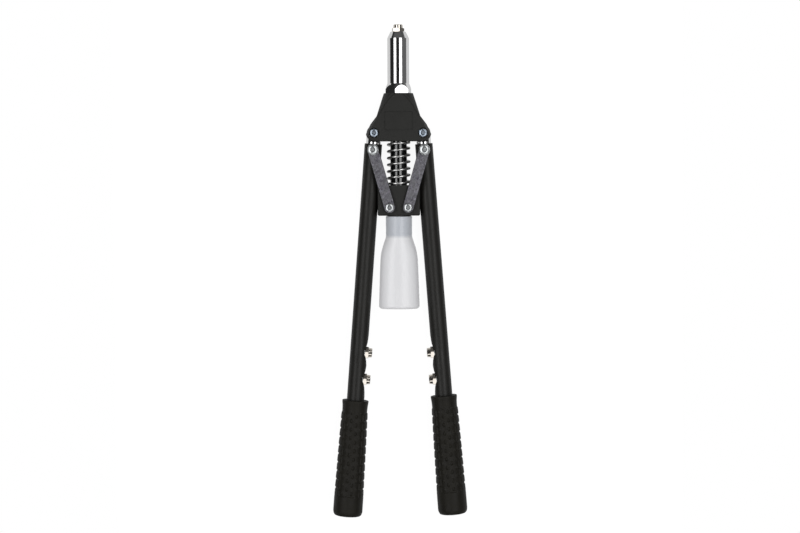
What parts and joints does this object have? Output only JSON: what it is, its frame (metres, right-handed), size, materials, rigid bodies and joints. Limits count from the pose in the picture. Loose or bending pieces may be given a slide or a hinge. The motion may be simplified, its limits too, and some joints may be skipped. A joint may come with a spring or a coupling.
{
  "type": "hand riveter",
  "caption": "Long-arm blind riveter: chromed barrel and nosepiece, forked head, hinged tube handles with links to a sprung yoke, and a bottle for spent mandrels.",
  "frame": {"origin": "mouth of the fitted nosepiece's bore, on the tool's axis", "axes": "+Y along the bore out of the nose, +Z out of the front face, +X to the right of it"},
  "size_m": [0.1471, 0.5344, 0.0456],
  "materials": {
    "chrome": "bright chrome plate",
    "rod_chrome": "hard chrome plate with a film of oil",
    "nickel": "bright nickel plate",
    "black_casting": "satin black paint on a casting",
    "black_tube": "satin black powder coat",
    "link_zinc": "dull zinc plate",
    "bright_zinc": "bright zinc plate",
    "blue_zinc": "blue zinc plate",
    "spring_steel": "bright drawn wire",
    "tool_steel": "hardened, oiled steel",
    "nylon": "tinted nylon",
    "grip_rubber": "matt black rubber",
    "bottle_plastic": "translucent natural polyethylene"
  },
  "bodies": {
    "head": {"fitted_nosepiece": "nickel", "barrel_sleeve": "chrome", "head_casting": "black_casting", "head_pivot_pins": "blue_zinc", "head_pivot_nuts": "blue_zinc", "head_nut_rings": "nylon", "return_spring": "spring_steel"},
    "yoke": {"yoke": "black_casting", "pull_rod": "rod_chrome", "jaw_case": "tool_steel", "case_lock_ring": "tool_steel", "yoke_pivot_pins": "bright_zinc", "yoke_pivot_nuts": "bright_zinc", "yoke_nut_rings": "nylon", "pusher_spring": "spring_steel"},
    "bottle": {"mandrel_bottle": "bottle_plastic"},
    "jaw_1": {"jaw_1": "tool_steel"},
    "jaw_2": {"jaw_2": "tool_steel"},
    "jaw_3": {"jaw_3": "tool_steel"},
    "jaw_pusher": {"jaw_pusher": "tool_steel"},
    "left_handle": {"left_lever_lug": "chrome", "left_handle_tube": "black_tube", "left_grip": "grip_rubber", "left_threaded_inserts": "bright_zinc", "left_front_spare_nosepiece": "nickel", "left_rear_spare_nosepiece": "nickel"},
    "left_links": {"left_front_link": "link_zinc", "left_back_link": "link_zinc", "left_link_bolt": "bright_zinc", "left_link_nut": "bright_zinc", "left_link_nut_ring": "nylon", "left_link_washer": "bright_zinc", "left_link_spacers": "bright_zinc"},
    "right_handle": {"right_lever_lug": "chrome", "right_handle_tube": "black_tube", "right_grip": "grip_rubber", "right_threaded_inserts": "bright_zinc", "right_front_spare_nosepiece": "nickel", "right_rear_spare_nosepiece": "nickel"},
    "right_links": {"right_front_link": "link_zinc", "right_back_link": "link_zinc", "right_link_bolt": "bright_zinc", "right_link_nut": "bright_zinc", "right_link_nut_ring": "nylon", "right_link_washer": "bright_zinc", "right_link_spacers": "bright_zinc"}
  },
  "joints": [
    {"name": "left_handle_hinge", "type": "hinge", "parent": "head", "child": "left_handle", "pos_m": [-0.0264, -0.117, 0], "axis": [0, 0, -1], "range_deg": [0, 60]},
    {"name": "right_handle_hinge", "type": "hinge", "parent": "head", "child": "right_handle", "pos_m": [0.0264, -0.117, 0], "axis": [0, 0, 1], "range_deg": [0, 60]},
    {"name": "yoke_slide", "type": "slide", "parent": "head", "child": "yoke", "axis": [0, 1, 0], "range_m": [0, 0.0154], "stiffness_N_per_m": 4400, "springref_m": -0.013, "deforming": ["return_spring"]},
    {"name": "left_link_hinge", "type": "hinge", "parent": "yoke", "child": "left_links", "pos_m": [-0.01, -0.1974, 0], "axis": [0, 0, 1], "range_deg": [0, 15.4]},
    {"name": "right_link_hinge", "type": "hinge", "parent": "yoke", "child": "right_links", "pos_m": [0.01, -0.1974, 0], "axis": [0, 0, -1], "range_deg": [0, 15.4]},
    {"name": "bottle_pull_off", "type": "slide", "parent": "yoke", "child": "bottle", "axis": [0, -1, 0], "range_m": [0, 0.025]},
    {"name": "jaw_1_slide", "type": "slide", "parent": "yoke", "child": "jaw_1", "axis": [0, -0.9877, -0.1564], "range_m": [0, 0.003]},
    {"name": "jaw_2_slide", "type": "slide", "parent": "yoke", "child": "jaw_2", "axis": [-0.1355, -0.9877, 0.0782], "range_m": [0, 0.003]},
    {"name": "jaw_3_slide", "type": "slide", "parent": "yoke", "child": "jaw_3", "axis": [0.1355, -0.9877, 0.0782], "range_m": [0, 0.003]},
    {"name": "jaw_pusher_slide", "type": "slide", "parent": "yoke", "child": "jaw_pusher", "axis": [0, -1, 0], "range_m": [0, 0.003], "stiffness_N_per_m": 500, "springref_m": -0.008, "deforming": ["pusher_spring"]}
  ],
  "couplings": [
    {"joint": "right_handle_hinge", "follows": "left_handle_hinge", "ratio": 1},
    {"joint": "yoke_slide", "follows": "left_handle_hinge", "m_per_rad": 0.0147},
    {"joint": "left_link_hinge", "follows": "left_handle_hinge", "ratio": 0.255},
    {"joint": "right_link_hinge", "follows": "left_handle_hinge", "ratio": 0.255},
    {"joint": "jaw_2_slide", "follows": "jaw_1_slide", "ratio": 1},
    {"joint": "jaw_3_slide", "follows": "jaw_1_slide", "ratio": 1},
    {"joint": "jaw_pusher_slide", "follows": "jaw_1_slide", "ratio": 0.98769}
  ]
}
